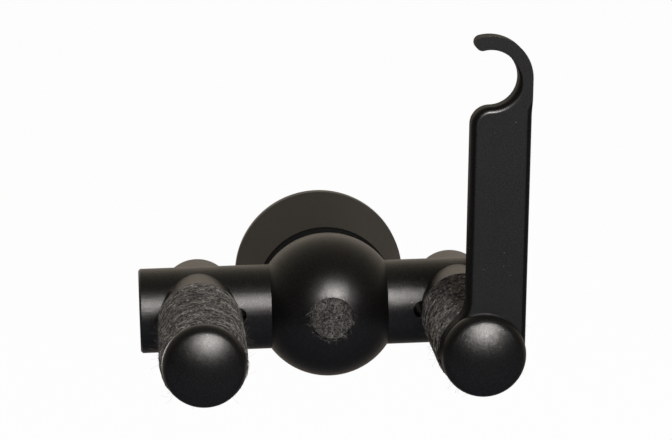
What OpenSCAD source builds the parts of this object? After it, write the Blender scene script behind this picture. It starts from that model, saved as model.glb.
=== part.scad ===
// Wall hanger for a bowed instrument: a tapered wall base carries a ball on a crossbar,
// two yarn-wound arms slide along the bar, and a flat bow hook turns on the right arm.
// Millimetres. Built as seen from the front: x to the right, y up and z out of the wall,
// then stood up so that the wall is the plane Y = 0 and the arms point along -Y.

/* [Wall base] */
// Diameter of the lip against the wall
base_d = 31.2; // [30:0.2:34]
// Thickness of the straight lip
base_lip = 2; // [1.5:0.5:3]
// Diameter of the front rim, around the ball
base_front_d = 25; // [24:0.5:26]
// Depth of the base from the wall to the front rim
base_h = 21; // [20.5:0.1:21.5]
// Diameter of the steel disc that is screwed to the wall
disc_d = 24.8; // [24:0.2:25]
// Thickness of the steel disc
disc_t = 5; // [4.5:0.5:5]
// Distance between the two wall screws
screw_spacing = 13; // [12:0.5:14]
// Diameter of a wall screw's hole
screw_hole_d = 4.2; // [3.6:0.1:4.6]

/* [Crossbar and ball] */
// Distance of the bar's axis from the wall
stand_off = 28.5; // [28:0.5:32]
// Diameter of the crossbar
bar_d = 15; // [14.6:0.1:15.4]
// Length of the crossbar
bar_l = 67; // [66:1:80]
// Diameter of the ball
ball_d = 25.5; // [25:0.1:26]
// Width of the slots that the arm studs slide in
slot_w = 3.1; // [3.06:0.02:3.2]
// Distance of a slot's inner end from the bar's middle
slot_inner = 14.7; // [13:0.1:16]
// Diameter of the felt pad on the ball
pad_d = 7.4; // [7:0.1:7.4]

/* [Arms] */
// Distance between the two arms
arm_spacing = 46; // [44:0.5:48]
// Diameter of an arm where it is bare
arm_d = 14; // [13:0.1:14.4]
// Reach of the arms, from the bar's axis to the back of the caps
arm_reach = 43.5; // [40:0.5:60]
// Distance from the bar's axis to the first turn of yarn
bare_reach = 11; // [10.5:0.5:14]
// Free travel of an arm outward from its usual place
slide_out = 3.5; // [0:0.5:3.5]
// Width of the flattened yarn
yarn_w = 2.7; // [2:0.1:2.7]
// Thickness of the flattened yarn
yarn_t = 1.25; // [1:0.05:1.3]
// Turns of yarn on the left arm
left_turns = 9; // [6:0.5:9]
// Turns of yarn on the right arm
right_turns = 7.5; // [5:0.5:7.5]
// Diameter of the clamp nuts behind the bar
nut_d = 13; // [12:0.1:13]
// Thickness of a clamp nut
nut_t = 4.1; // [4:0.1:4.5]

/* [End caps] */
// Diameter of an end cap
cap_d = 14; // [13:0.1:14]
// Height of the straight rim of a cap
cap_rim = 0.2; // [0.1:0.1:2]
// Radius of a cap's crown
crown_r = 13.5; // [12:0.5:18]
// Radius of the rounding between crown and rim
edge_r = 2.3; // [1.5:0.1:3.5]

/* [Bow hook] */
// Thickness of the hook plate
hook_t = 4; // [3:0.5:5]
// Radius of the ring round the arm and of the hook's outside
hook_r = 6.95; // [6.8:0.05:7.4]
// Width of the straight part of the plate
hook_w = 9.9; // [9:0.1:11]
// Height of the hook's eye above the arm
hook_rise = 45.8; // [40:0.1:60]
// Diameter of the hook's eye
eye_d = 9.4; // [8:0.1:10]
// How far the tip reaches past the top of the eye, in degrees
tip_turn = 15; // [0:1:30]
// Radius of the rounded shoulder under the eye
shoulder_r = 3.2; // [2:0.1:4]
// Radius of the flare where the plate meets its ring
flare_r = 5.2; // [5:0.2:10]
// Lean of the hook to the right, in degrees
hook_lean = 2.35; // [-10:0.05:20]

/* [Hidden] */
$fn = 96;

black = "#1c1c1d";
steel = "#8c8e92";
dark_steel = "#3a3b3d";
wool = "#3d3d40";
nylon = "#d8d6cf";

// A hair of extra length, so that a cut passes its faces
cut = 0.1;
// Radial room of a part that is fixed in a hole, and of one that turns or slides in it
snug = 0.01;
running = 0.05;
// Room between the bar and what is hollowed to sit on it
bar_room = 0.1;
ball_r = ball_d / 2;
bar_r = bar_d / 2;
bar_chamfer = 0.35;
rim_chamfer = 0.3;

// The swivel: a socket cap screw through ball and bar, from under the felt pad into the base
bolt_r = 2;
bolt_l = 25;
bolt_head_r = 3.5;
bolt_head_h = 4;
bolt_hex = 3;
bolt_hex_depth = 2;
head_room = 0.3;
head_seat = 2;
head_seat_z = stand_off + head_seat;
spring_t = 1;
spring_r = 3.6;
spring_split = 0.8;
spring_slant = 20;
washer_t = 1.2;
washer_r = 5;
ball_flat = 11.6;
socket_room = 0.3;
ball_back_z = stand_off - ball_flat;
washer_seat_z = ball_back_z - washer_t;
pad_t = 4;
pad_inset = 0.35;
pad_well_r = bolt_head_r + head_room;

// The wall disc and the pointed screw that holds the base on it
cavity_room = 0.1;
cavity_d = disc_d + 2 * cavity_room;
cavity_h = disc_t + 1;
countersink_r = 4;
groove_depth = 1;
grub_r = 2;
grub_l = 3.4;
grub_point = 0.9;
grub_flat = 0.1;
grub_hex = 2;
grub_room = 0.2;
grub_z = disc_t / 2;
grub_tip = disc_d / 2 - groove_depth + grub_room;

// Arm stud, saddle and nut: the stack behind the bar
stud_r = slot_w / 2 - running;
saddle_t = 1.5;
saddle_z = stand_off - bar_r - saddle_t;
saddle_lip_z = stand_off - bar_r / 3;
nut_z = saddle_z - nut_t;
nut_chamfer = 0.5;
nut_hex = 4;
nut_hex_depth = 2;
stud_depth = 10;
slot_outer = arm_spacing / 2 + slide_out + slot_w / 2;

// Yarn form: rings a turn and sides a ring
yarn_rings = 24;
yarn_sides = 6;

// Arms: the yarn lies in a turned-down stretch and stands a little proud of the bare foot
yarn_room = 0.05;
yarn_proud = 0.35;
yarn_chord = cos(180 / yarn_rings);
yarn_mid_r = arm_d / 2 + yarn_proud - yarn_t / 2;
core_r = (yarn_mid_r - yarn_t / 2) * yarn_chord - yarn_room;
yarn_end_room = 0.2;
cap_z = stand_off + arm_reach;
hook_washer_t = 0.4;
spigot_r = 4;
ring_z = cap_z - hook_t;
shoulder_z = ring_z - hook_washer_t;
cap_stud_r = 2;
cap_stud_l = 10;
cap_stud_in = 2.4;

// Stands the front view up against the wall
module stand_up() {
    rotate([90, 0, 0]) children();
}

module at_arm(side) {
    translate([side * arm_spacing / 2, 0, 0]) children();
}

module hex_socket(across, depth) {
    cylinder(h = depth, d = across / cos(30), $fn = 6);
}

module ring(outer_r, inner_r, height) {
    difference() {
        cylinder(h = height, r = outer_r);
        translate([0, 0, -cut]) cylinder(h = height + 2 * cut, r = inner_r);
    }
}

// Space of the crossbar, with some room all round
module bar_space(room) {
    translate([0, 0, stand_off]) rotate([0, 90, 0])
        cylinder(h = 2 * bar_l, r = bar_r + room, center = true);
}

// Wall base

module base_profile() {
    polygon([
        [0, 0], [base_d / 2, 0], [base_d / 2, base_lip], [base_front_d / 2, base_h - rim_chamfer],
        [base_front_d / 2 - rim_chamfer, base_h], [0, base_h]
    ]);
}

// The ball sits in a round hollow, with a flat pocket at its bottom for the friction washer
module ball_hollow() {
    intersection() {
        translate([0, 0, stand_off]) sphere(r = ball_r + socket_room);
        translate([0, 0, washer_seat_z]) cylinder(h = ball_d, r = ball_d);
    }
    translate([0, 0, washer_seat_z]) cylinder(h = washer_t, r = washer_r + running);
}

module wall_base() {
    color(black) stand_up() difference() {
        rotate_extrude() base_profile();
        ball_hollow();
        translate([0, 0, -cut]) cylinder(h = cavity_h + cut, d = cavity_d);
        translate([0, 0, cavity_h - cut]) cylinder(h = base_h, r = bolt_r + snug);
        translate([0, 0, grub_z]) rotate([90, 0, 0]) cylinder(h = base_d, r = grub_r + snug);
    }
}

module screw_hole() {
    translate([0, 0, -cut]) cylinder(h = disc_t + 2 * cut, d = screw_hole_d);
    translate([0, 0, disc_t - (countersink_r - screw_hole_d / 2)])
        cylinder(h = countersink_r - screw_hole_d / 2, r1 = screw_hole_d / 2, r2 = countersink_r);
    translate([0, 0, disc_t]) cylinder(h = cut, r = countersink_r);
}

module mounting_disc() {
    edge = disc_d / 2;
    color(steel) stand_up() difference() {
        rotate_extrude() polygon([
            [0, 0], [edge, 0], [edge, grub_z - groove_depth], [edge - groove_depth, grub_z],
            [edge, grub_z + groove_depth], [edge, disc_t], [0, disc_t]
        ]);
        for (side = [-1, 1]) translate([side * screw_spacing / 2, 0, 0]) screw_hole();
    }
}

module grub_screw() {
    color(dark_steel) stand_up() translate([0, -grub_tip, grub_z]) rotate([90, 0, 0]) difference() {
        union() {
            cylinder(h = grub_point, r1 = grub_flat, r2 = grub_point);
            translate([0, 0, grub_point]) cylinder(h = grub_l - grub_point, r = grub_r);
        }
        translate([0, 0, grub_l - grub_hex]) hex_socket(grub_hex, grub_hex + cut);
    }
}

// Swivel

module swivel_bolt() {
    head_z = head_seat_z + spring_t;
    color(dark_steel) stand_up() difference() {
        union() {
            translate([0, 0, head_z - bolt_l]) cylinder(h = bolt_l + cut, r = bolt_r);
            translate([0, 0, head_z]) cylinder(h = bolt_head_h, r = bolt_head_r);
        }
        translate([0, 0, head_z + bolt_head_h - bolt_hex_depth]) hex_socket(bolt_hex, bolt_hex_depth + cut);
    }
}

module spring_washer() {
    color(steel) stand_up() translate([0, 0, head_seat_z]) difference() {
        ring(spring_r, bolt_r + 2 * running, spring_t);
        rotate([spring_slant, 0, 0]) translate([0, -spring_split / 2, -spring_t])
            cube([2 * spring_r, spring_split, 3 * spring_t]);
    }
}

module friction_washer() {
    color(nylon) stand_up() translate([0, 0, washer_seat_z])
        ring(washer_r, bolt_r + 2 * running, washer_t);
}

// Ball, bar and pad

// The way of the bolt and its head through ball and bar
module bolt_way() {
    cylinder(h = 2 * stand_off, r = bolt_r + running + snug);
    translate([0, 0, head_seat_z]) cylinder(h = ball_d, r = pad_well_r);
}

module ball() {
    color(black) stand_up() difference() {
        translate([0, 0, stand_off]) sphere(r = ball_r);
        bar_space(snug);
        bolt_way();
        translate([0, 0, ball_back_z - ball_d]) cylinder(h = ball_d, r = ball_d);
    }
}

module slot() {
    for (end = [slot_inner + slot_w / 2, slot_outer - slot_w / 2])
        translate([end, 0, 0]) cylinder(h = 2 * stand_off, d = slot_w);
    translate([slot_inner + slot_w / 2, -slot_w / 2, 0])
        cube([slot_outer - slot_inner - slot_w, slot_w, 2 * stand_off]);
}

module crossbar() {
    half = bar_l / 2;
    color(black) stand_up() difference() {
        translate([0, 0, stand_off]) rotate([0, 90, 0]) rotate_extrude() polygon([
            [0, -half], [bar_r - bar_chamfer, -half], [bar_r, bar_chamfer - half],
            [bar_r, half - bar_chamfer], [bar_r - bar_chamfer, half], [0, half]
        ]);
        slot();
        mirror([1, 0, 0]) slot();
        bolt_way();
    }
}

module felt_pad() {
    face_r = ball_r - pad_inset;
    color(wool) stand_up() intersection() {
        translate([0, 0, stand_off + face_r - pad_t]) cylinder(h = pad_t + cut, d = pad_d);
        translate([0, 0, stand_off]) sphere(r = face_r);
    }
}

// Arms

// The arm's foot is hollowed to sit on the bar, and its tip is tapped for the cap's stud
module arm_shaft(side, tip_z) {
    at_arm(side) difference() {
        union() {
            translate([0, 0, stand_off]) cylinder(h = bare_reach, d = arm_d);
            translate([0, 0, stand_off]) cylinder(h = tip_z - stand_off, r = core_r);
            children();
        }
        bar_space(bar_room);
        cylinder(h = stand_off + bar_r + stud_depth, r = stud_r + snug);
        translate([0, 0, cap_z + cap_stud_in - cap_stud_l]) cylinder(h = cap_stud_l, r = cap_stud_r + snug);
    }
}

module left_arm() {
    color(black) stand_up() arm_shaft(-1, cap_z);
}

// The right arm ends in a spigot that the bow hook turns on
module right_arm() {
    color(black) stand_up() arm_shaft(1, shoulder_z)
        translate([0, 0, shoulder_z - cut]) cylinder(h = cap_z - shoulder_z + cut - running, r = spigot_r);
}

// One ring of the yarn: an ellipse of points, stretched along z to the yarn's full width
function yarn_ring(angle, z) = [
    for (i = [0 : yarn_sides - 1])
        let (turn = i * 360 / yarn_sides, r = yarn_mid_r + yarn_t / 2 * cos(turn))
            [r * cos(angle), r * sin(angle), z + yarn_w / 2 * sin(turn) / sin(360 / yarn_sides)]
];

function yarn_points(turns, start_z, pitch, hand) = [
    for (i = [0 : turns * yarn_rings])
        each yarn_ring(hand * i * 360 / yarn_rings, start_z + pitch * i / yarn_rings)
];

function yarn_faces(rings, hand) = [
    for (i = [0 : rings - 2], j = [0 : yarn_sides - 1])
        let (
            a = i * yarn_sides + j,
            b = i * yarn_sides + (j + 1) % yarn_sides,
            c = a + yarn_sides,
            d = b + yarn_sides
        )
            each hand > 0 ? [[a, b, c], [b, d, c]] : [[a, c, b], [b, c, d]],
    for (j = [1 : yarn_sides - 2])
        each hand > 0 ? [[0, j + 1, j], [for (k = [0, j, j + 1]) k + (rings - 1) * yarn_sides]]
            : [[0, j, j + 1], [for (k = [0, j + 1, j]) k + (rings - 1) * yarn_sides]]
];

// Least distance between a point of the first turn and a point of the second
function yarn_gap(points) = min([
    for (i = [0 : yarn_sides * yarn_rings - 1], j = [0 : 3 * yarn_sides - 1])
        norm(points[i] - points[(yarn_rings - 1) * yarn_sides + i - i % yarn_sides + j])
]);

// Yarn wound from the bare foot of an arm to z = end_z, as one unbroken tube
module yarn(name, turns, end_z, hand) {
    start_z = stand_off + bare_reach + yarn_end_room + yarn_w / 2;
    pitch = (end_z - yarn_end_room - yarn_w / 2 - start_z) / turns;
    points = yarn_points(turns, start_z, pitch, hand);
    echo(str(name, ": pitch ", pitch, " mm, least gap to itself ", yarn_gap(points), " mm"));
    polyhedron(points, yarn_faces(turns * yarn_rings + 1, hand));
}

module left_yarn() {
    color(wool) stand_up() at_arm(-1) yarn("left_yarn", left_turns, cap_z, 1);
}

module right_yarn() {
    color(wool) stand_up() at_arm(1) yarn("right_yarn", right_turns, shoulder_z, -1);
}

// A cap's crown and its rounded edge are two arcs that meet without a crease
module cap(side, room) {
    edge_x = cap_d / 2 - edge_r;
    meet = asin(edge_x / (crown_r - edge_r));
    crown_z = cap_rim - edge_x / tan(meet);
    steps = 12;
    at_arm(side) translate([0, 0, cap_z]) difference() {
        rotate_extrude() polygon([
            [0, 0],
            [cap_d / 2, 0],
            for (i = [0 : steps])
                let (turn = 90 + (meet - 90) * i / steps)
                    [edge_x + edge_r * sin(turn), cap_rim + edge_r * cos(turn)],
            for (i = [1 : steps - 1])
                let (turn = meet * (1 - i / steps))
                    [crown_r * sin(turn), crown_z + crown_r * cos(turn)],
            [0, crown_z + crown_r]
        ]);
        translate([0, 0, -cut]) cylinder(h = cap_stud_in + 2 * cut, r = cap_stud_r + room);
    }
}

module left_cap() {
    color(black) stand_up() cap(-1, snug);
}

module right_cap() {
    color(black) stand_up() cap(1, running);
}

module cap_stud(side) {
    at_arm(side) translate([0, 0, cap_z + cap_stud_in - cap_stud_l])
        cylinder(h = cap_stud_l, r = cap_stud_r);
}

module left_cap_stud() {
    color(dark_steel) stand_up() cap_stud(-1);
}

module right_cap_stud() {
    color(dark_steel) stand_up() cap_stud(1);
}

// The stud runs from the nut's socket, through the slot, into the arm's foot
module arm_stud(side) {
    bottom_z = nut_z + nut_hex_depth + running;
    at_arm(side) translate([0, 0, bottom_z])
        cylinder(h = stand_off + bar_r + stud_depth - bottom_z, r = stud_r);
}

module left_arm_stud() {
    color(dark_steel) stand_up() arm_stud(-1);
}

module right_arm_stud() {
    color(dark_steel) stand_up() arm_stud(1);
}

// A hollowed washer between the round bar and the flat nut
module saddle(side) {
    at_arm(side) difference() {
        translate([0, 0, saddle_z]) cylinder(h = stand_off - saddle_z, d = nut_d);
        bar_space(bar_room);
        translate([-nut_d, -nut_d, saddle_lip_z]) cube([2 * nut_d, 2 * nut_d, bar_d]);
        cylinder(h = 2 * stand_off, r = stud_r + snug);
    }
}

module left_saddle() {
    color(black) stand_up() saddle(-1);
}

module right_saddle() {
    color(black) stand_up() saddle(1);
}

module nut(side) {
    r = nut_d / 2;
    at_arm(side) translate([0, 0, nut_z]) difference() {
        rotate_extrude() polygon([
            [0, 0], [r - nut_chamfer, 0], [r, nut_chamfer], [r, nut_t], [0, nut_t]
        ]);
        translate([0, 0, -cut]) hex_socket(nut_hex, nut_hex_depth + cut);
        cylinder(h = nut_t + cut, r = stud_r + running);
    }
}

module left_nut() {
    color(black) stand_up() nut(-1);
}

module right_nut() {
    color(black) stand_up() nut(1);
}

// Bow hook

// The upper arc of the hook, from the right side over the top to the round tip
module hook_arc() {
    reach = 2 * hook_r;
    band = hook_r - eye_d / 2;
    translate([0, hook_rise, 0]) {
        intersection() {
            cylinder(h = hook_t, r = hook_r);
            linear_extrude(hook_t) polygon([
                [0, -cut], [reach, -cut], [reach, reach], [0, reach],
                [-reach * sin(tip_turn), reach * cos(tip_turn)]
            ]);
        }
        rotate(90 + tip_turn) translate([hook_r - band / 2, 0, 0])
            cylinder(h = hook_t, r = band / 2 - snug);
    }
}

// The straight plate, with a round shoulder that runs smoothly into the eye
module hook_plate() {
    left = hook_w - hook_r;
    shoulder_x = shoulder_r - left;
    shoulder_y = hook_rise - sqrt(pow(shoulder_r + eye_d / 2, 2) - pow(shoulder_x, 2));
    meet_x = shoulder_x * eye_d / 2 / (shoulder_r + eye_d / 2);
    linear_extrude(hook_t) polygon([
        [-left, 0], [hook_r, 0], [hook_r, hook_rise], [meet_x, hook_rise],
        [meet_x, shoulder_y], [-left, shoulder_y]
    ]);
    translate([shoulder_x, shoulder_y, 0]) cylinder(h = hook_t, r = shoulder_r);
}

// The ring round the arm, flared into the plate's left edge
module hook_ring() {
    left = hook_w - hook_r;
    flare_x = -left - flare_r;
    flare_y = sqrt(pow(hook_r + flare_r, 2) - pow(flare_x, 2));
    cylinder(h = hook_t, r = hook_r);
    difference() {
        linear_extrude(hook_t) polygon([
            [0, 0], [flare_x, flare_y] * hook_r / (hook_r + flare_r), [-left, flare_y], [0, flare_y]
        ]);
        translate([flare_x, flare_y, -cut]) cylinder(h = hook_t + 2 * cut, r = flare_r);
    }
}

module bow_hook() {
    color(black) stand_up() at_arm(1) translate([0, 0, ring_z]) rotate(-hook_lean) difference() {
        union() {
            hook_arc();
            hook_plate();
            hook_ring();
        }
        translate([0, 0, -cut]) cylinder(h = hook_t + 2 * cut, r = spigot_r + running);
        translate([0, hook_rise, -cut]) cylinder(h = hook_t + 2 * cut, d = eye_d);
    }
}

module hook_washer() {
    color(nylon) stand_up() at_arm(1) translate([0, 0, shoulder_z])
        ring(core_r, spigot_r + running, hook_washer_t);
}

wall_base();
mounting_disc();
grub_screw();
swivel_bolt();
spring_washer();
friction_washer();
ball();
crossbar();
felt_pad();
left_arm();
left_yarn();
left_cap();
left_cap_stud();
left_arm_stud();
left_saddle();
left_nut();
right_arm();
right_yarn();
right_cap();
right_cap_stud();
right_arm_stud();
right_saddle();
right_nut();
bow_hook();
hook_washer();
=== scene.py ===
# %% [markdown]
# A wall hanger for a bowed instrument. A tapered base sits on the wall and carries a ball on a
# round bar. Two arms wound with wool yarn stand on the bar, and a flat bow hook turns on the
# right arm. The exact solids come in first, as a fixed frame. Each later cell makes one visible
# piece or one finish, and says why it is made that way.

# %% Load the frame
import math
import random
from collections import namedtuple

import bpy
from mathutils import Matrix, Vector


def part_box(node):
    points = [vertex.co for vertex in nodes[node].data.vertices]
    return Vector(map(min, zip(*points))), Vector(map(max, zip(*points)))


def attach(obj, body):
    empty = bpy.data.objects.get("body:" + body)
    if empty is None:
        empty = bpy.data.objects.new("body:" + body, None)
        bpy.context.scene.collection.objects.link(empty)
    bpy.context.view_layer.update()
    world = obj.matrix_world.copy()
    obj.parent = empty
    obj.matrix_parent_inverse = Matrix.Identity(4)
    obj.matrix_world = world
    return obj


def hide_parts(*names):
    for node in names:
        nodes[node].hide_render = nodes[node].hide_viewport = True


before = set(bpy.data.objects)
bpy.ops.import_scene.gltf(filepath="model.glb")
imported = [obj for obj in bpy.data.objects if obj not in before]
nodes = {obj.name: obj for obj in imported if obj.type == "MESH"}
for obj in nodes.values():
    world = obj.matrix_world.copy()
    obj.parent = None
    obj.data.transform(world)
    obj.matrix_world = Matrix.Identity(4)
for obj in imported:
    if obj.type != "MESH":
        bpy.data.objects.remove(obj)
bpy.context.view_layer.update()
for plain in list(bpy.data.materials):
    bpy.data.materials.remove(plain)
mm = 0.001

# %% [markdown]
# Operators act on whatever is selected, and the frame arrives selected. This helper clears the
# selection, and picks one object when it is given one.


# %% Selection helper
def pick(piece=None):
    if bpy.context.object and bpy.context.object.mode != "OBJECT":
        bpy.ops.object.mode_set(mode="OBJECT")
    bpy.ops.object.select_all(action="DESELECT")
    if piece:
        piece.select_set(True)
        bpy.context.view_layer.objects.active = piece


pick()
print("selected:", len(bpy.context.selected_objects))

# %% [markdown]
# The camera stands a little left of the middle and looks down on the arms, as in the photograph.
# Its place and angles were fitted to the outlines of the ball, the bar and the caps. The long
# lens goes with the distance of about half a metre. Colours are shown plainly, with no film look.

# %% Camera
frame_width = 672
focal_pixels = 3000
camera_at = (-0.030255, -0.550609, 0.114492)
yaw, pitch, roll = (math.radians(a) for a in (3.519, 10.749, -1.396))
ahead = Vector((math.sin(yaw) * math.cos(pitch), math.cos(yaw) * math.cos(pitch), -math.sin(pitch)))
right = Vector((math.cos(yaw), -math.sin(yaw), 0))
up = right.cross(ahead)
right_rolled = math.cos(roll) * right + math.sin(roll) * up
up_rolled = math.cos(roll) * up - math.sin(roll) * right
turn = Matrix((right_rolled, up_rolled, -ahead)).transposed()
bpy.ops.object.camera_add(location=camera_at, rotation=turn.to_euler())
camera = bpy.context.object
camera.data.lens = focal_pixels / frame_width * camera.data.sensor_width
bpy.context.scene.camera = camera
bpy.context.scene.view_settings.view_transform = "Standard"
print("lens:", round(camera.data.lens, 2), "mm")

# %% [markdown]
# Materials are node trees, and these helpers keep the cells short: one starts a material, one
# adds a node with its settings, one joins two sockets, one spreads a value over a new range, and
# one fills a colour ramp with tinted glows between a first and a last colour.


# %% Node helpers
def start_material(name):
    material = bpy.data.materials.new(name)
    material.use_nodes = True
    material.node_tree.nodes.clear()
    return material, material.node_tree


def add(tree, kind, values=None, **settings):
    node = tree.nodes.new(kind)
    for key, value in settings.items():
        setattr(node, key, value)
    for key, value in (values or {}).items():
        node.inputs[key].default_value = value
    return node


def join(tree, start, end):
    tree.links.new(start, end)


def remap(tree, low, high, to_low, to_high):
    limits = {"From Min": low, "From Max": high, "To Min": to_low, "To Max": to_high}
    return add(tree, "ShaderNodeMapRange", limits)


def grade(ramp, first, glows, tint, last):
    for spot, glow in glows:
        ramp.color_ramp.elements.new(spot).color = (*(glow * share for share in tint), 1)
    ramp.color_ramp.elements[0].color = (*first, 1)
    ramp.color_ramp.elements[-1].color = (*last, 1)


# %% [markdown]
# The studio: a plain pale floor well below the hanger, so that the swinging hook clears it. To
# the camera it is nearly white, and it still takes the soft shadow. Mirror-like rays see it dimmed
# and graded instead, dark and cool in front and warm behind, because the black metal in the
# photograph mirrors a dark room.

# %% Floor
floor_level, floor_size = -0.12, 12
floor_white = 0.97
graded_from, graded_to, warm_from = -1.0, 0.4, 0.9
floor_glows = ((0.16, 0.042), (0.4, 0.1), (0.56, 0.155), (0.66, 0.135), (0.72, 0.055))
bpy.ops.mesh.primitive_plane_add(size=floor_size, location=(0, 0, floor_level))
floor = bpy.context.object
floor.name = "floor"
material, tree = start_material("pale_floor")
path = add(tree, "ShaderNodeLightPath")
matt = add(tree, "ShaderNodeBsdfDiffuse", {"Color": (0.82, 0.82, 0.82, 1)})
tint = add(tree, "ShaderNodeMix", data_type="RGBA")
tint.inputs["A"].default_value = (1, 1, 1, 1)
place = add(tree, "ShaderNodeTexCoord")
split = add(tree, "ShaderNodeSeparateXYZ")
along = remap(tree, graded_from, graded_to, 0.0, 1.0)
dim = add(tree, "ShaderNodeValToRGB")
grade(dim, first=(0.029, 0.03, 0.035), glows=floor_glows, tint=(0.97, 1, 1.18), last=(0.38, 0.32, 0.27))
dim.color_ramp.elements[-1].position = warm_from
glow = add(tree, "ShaderNodeEmission", {"Strength": 1.0})
camera_share = add(tree, "ShaderNodeMath", {1: floor_white}, operation="MULTIPLY")
seen = add(tree, "ShaderNodeMath", operation="ADD")
share = add(tree, "ShaderNodeMath", operation="ADD", use_clamp=True)
blend = add(tree, "ShaderNodeMixShader")
out = add(tree, "ShaderNodeOutputMaterial")
join(tree, path.outputs["Is Camera Ray"], camera_share.inputs[0])
join(tree, camera_share.outputs[0], seen.inputs[0])
join(tree, path.outputs["Is Glossy Ray"], seen.inputs[1])
join(tree, seen.outputs[0], share.inputs[0])
join(tree, path.outputs["Is Transmission Ray"], share.inputs[1])
join(tree, place.outputs["Object"], split.inputs[0])
join(tree, split.outputs["Y"], along.inputs[0])
join(tree, along.outputs[0], dim.inputs[0])
join(tree, dim.outputs[0], tint.inputs["B"])
join(tree, path.outputs["Is Glossy Ray"], tint.inputs["Factor"])
join(tree, tint.outputs["Result"], glow.inputs["Color"])
join(tree, share.outputs[0], blend.inputs[0])
join(tree, matt.outputs[0], blend.inputs[1])
join(tree, glow.outputs[0], blend.inputs[2])
join(tree, blend.outputs[0], out.inputs[0])
floor.data.materials.append(material)
print("floor at", floor_level, "m")

# %% [markdown]
# The room: white to the camera. The metal mirrors a dim room instead, dark and cool in front of
# the hanger, warm and brighter behind it. That rear light draws the brown-grey tops of the bar,
# the nuts and the base. Diffuse rays get a small even fill, so wool in the shade keeps its grey.

# %% World
room_glows = ((0.3, 0.02), (0.5, 0.12), (0.7, 0.25), (0.86, 0.46))
soft_fill = (0.21, 0.2, 0.19)
dim_below, full_above, dim_share = -0.05, 0.3, 0.55
world = bpy.data.worlds.new("studio")
bpy.context.scene.world = world
world.use_nodes = True
tree = world.node_tree
tree.nodes.clear()
place = add(tree, "ShaderNodeTexCoord")
split = add(tree, "ShaderNodeSeparateXYZ")
level = remap(tree, -1.0, 1.0, 0.0, 1.0)
rear = add(tree, "ShaderNodeValToRGB")
rear.color_ramp.interpolation = "EASE"
grade(rear, first=(0.019, 0.02, 0.025), glows=room_glows, tint=(1.12, 1, 0.81), last=(0.655, 0.573, 0.478))
height = remap(tree, dim_below, full_above, dim_share, 1.0)
room = add(tree, "ShaderNodeVectorMath", operation="SCALE")
path = add(tree, "ShaderNodeLightPath")
fill = add(tree, "ShaderNodeVectorMath", {0: soft_fill}, operation="SCALE")
lit = add(tree, "ShaderNodeVectorMath", operation="ADD")
white = add(tree, "ShaderNodeMath", operation="ADD", use_clamp=True)
shown = add(tree, "ShaderNodeMix", data_type="RGBA")
shown.inputs["B"].default_value = (1, 1, 1, 1)
light = add(tree, "ShaderNodeBackground", {"Strength": 1})
out = add(tree, "ShaderNodeOutputWorld")
join(tree, place.outputs["Generated"], split.inputs[0])
join(tree, split.outputs["Y"], level.inputs[0])
join(tree, level.outputs[0], rear.inputs[0])
join(tree, split.outputs["Z"], height.inputs[0])
join(tree, rear.outputs[0], room.inputs[0])
join(tree, height.outputs[0], room.inputs["Scale"])
join(tree, path.outputs["Is Camera Ray"], white.inputs[0])
join(tree, path.outputs["Is Transmission Ray"], white.inputs[1])
join(tree, white.outputs[0], shown.inputs["Factor"])
join(tree, path.outputs["Is Diffuse Ray"], fill.inputs["Scale"])
join(tree, room.outputs[0], lit.inputs[0])
join(tree, fill.outputs[0], lit.inputs[1])
join(tree, lit.outputs[0], shown.inputs["A"])
join(tree, shown.outputs["Result"], light.inputs["Color"])
join(tree, light.outputs[0], out.inputs[0])
print("room nodes:", len(tree.nodes))

# %% [markdown]
# One soft box stands above and to the right of the camera. It makes the single round highlight
# on the ball and on each cap, and the soft band along the bar.

# %% Key light
middle = Vector((0, -0.045, 0))
key_up, key_right, key_distance = math.radians(26.6), math.radians(9.0), 1.0
key_way = Vector((
    math.sin(key_right) * math.cos(key_up), -math.cos(key_right) * math.cos(key_up), math.sin(key_up)
))
bpy.ops.object.light_add(type="AREA", location=middle + key_distance * key_way)
key = bpy.context.object
key.name = "soft_box"
key.rotation_euler = (-key_way).to_track_quat("-Z", "Y").to_euler()
key.data.shape = "SQUARE"
key.data.size = 0.2
key.data.energy = 11.6
key.data.color = (1.0, 0.955, 0.915)
print("key light at", [round(v, 3) for v in key.location])

# %% [markdown]
# A small weak lamp behind the left arm draws the thin pale line down the left edge of its cap.

# %% Rim light
rim_at, rim_aim = Vector((-0.106, 0.107, -0.015)), Vector((-0.03, -0.073, 0))
bpy.ops.object.light_add(type="AREA", location=rim_at)
rim = bpy.context.object
rim.name = "rim_lamp"
rim.rotation_euler = (rim_aim - rim_at).to_track_quat("-Z", "Y").to_euler()
rim.data.shape = "RECTANGLE"
rim.data.size = 0.03
rim.data.size_y = 0.1
rim.data.energy = 0.0009
rim.data.spread = math.radians(24)
print("rim light at", [round(v, 3) for v in rim.location])

# %% [markdown]
# Black metal: aluminium, blasted with fine beads and then dyed black in the anodising bath. The
# beads leave tiny dents, so the highlight is broad, and the dye takes a little differently from
# grain to grain. A few specks of dust lie on it. The steel parts have the same grain at other
# sizes and depths, so it is a node group.

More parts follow.
